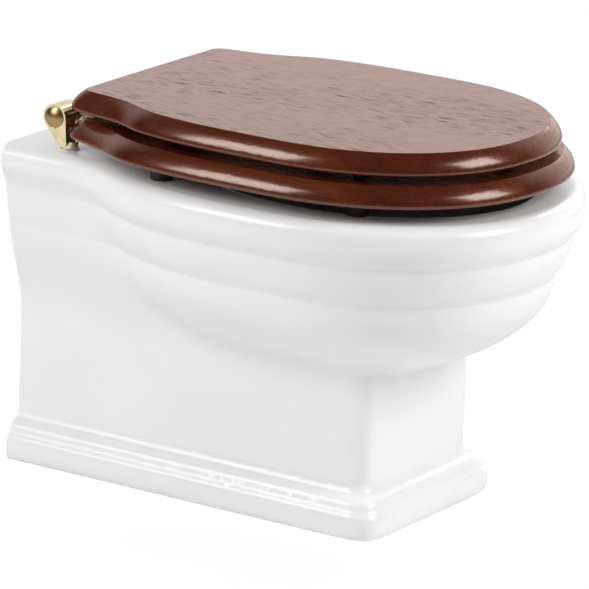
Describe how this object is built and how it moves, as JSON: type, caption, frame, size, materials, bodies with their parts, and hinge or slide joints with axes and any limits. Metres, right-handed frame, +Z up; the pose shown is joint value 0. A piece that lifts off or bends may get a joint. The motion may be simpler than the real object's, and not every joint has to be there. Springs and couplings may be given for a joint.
{
  "type": "wall hung toilet",
  "caption": "Wall hung toilet with a glazed ceramic pan on a moulded false plinth, and a wooden ring seat and lid that lift on a brass bar hinge.",
  "frame": {"origin": "on the wall plane, midway between the two wall fixings", "axes": "+Y out of the pan's back into the wall, -Y towards the front of the pan, +Z up, X along the hinge bar"},
  "size_m": [0.3762, 0.523, 0.375],
  "materials": {
    "ceramic": "white gloss glaze",
    "wood": "satin lacquered mahogany",
    "brass": "polished pale gold",
    "cap_brass": "antique gold",
    "leaf_brass": "dull gold",
    "screw_brass": "bright",
    "steel": "plain steel",
    "rubber_brown": "dark brown rubber",
    "rubber_dark": "black rubber",
    "plastic": "white nylon"
  },
  "bodies": {
    "pan": {"pan": "ceramic", "flush_inlet_seal": "rubber_dark", "hinge_bar": "brass", "post_grub_screws": "steel", "fixing_sleeve_left": "plastic", "fixing_sleeve_right": "plastic", "hinge_post_left": "brass", "hinge_post_right": "brass", "hinge_end_cap_left": "cap_brass", "hinge_end_cap_right": "cap_brass", "hinge_foot_washer_left": "plastic", "hinge_foot_washer_right": "plastic", "hinge_stud_left": "steel", "hinge_stud_right": "steel", "expanding_plug_left": "rubber_dark", "expanding_plug_right": "rubber_dark", "cone_nut_left": "steel", "cone_nut_right": "steel"},
    "seat": {"seat": "wood", "seat_leaf_left": "leaf_brass", "seat_leaf_right": "leaf_brass", "seat_leaf_screws": "screw_brass", "seat_buffers": "rubber_brown", "seat_buffer_screws": "steel"},
    "lid": {"lid": "wood", "lid_leaf_left": "leaf_brass", "lid_leaf_right": "leaf_brass", "lid_leaf_screws": "screw_brass", "lid_buffers": "rubber_brown", "lid_buffer_screws": "steel"}
  },
  "joints": [
    {"name": "seat_hinge", "type": "hinge", "parent": "pan", "child": "seat", "pos_m": [0, -0.05, 0.1143], "axis": [-1, 0, 0], "range_deg": [0, 90]},
    {"name": "lid_hinge", "type": "hinge", "parent": "seat", "child": "lid", "pos_m": [0, -0.05, 0.1143], "axis": [-1, 0, 0], "range_deg": [0, 90]}
  ]
}
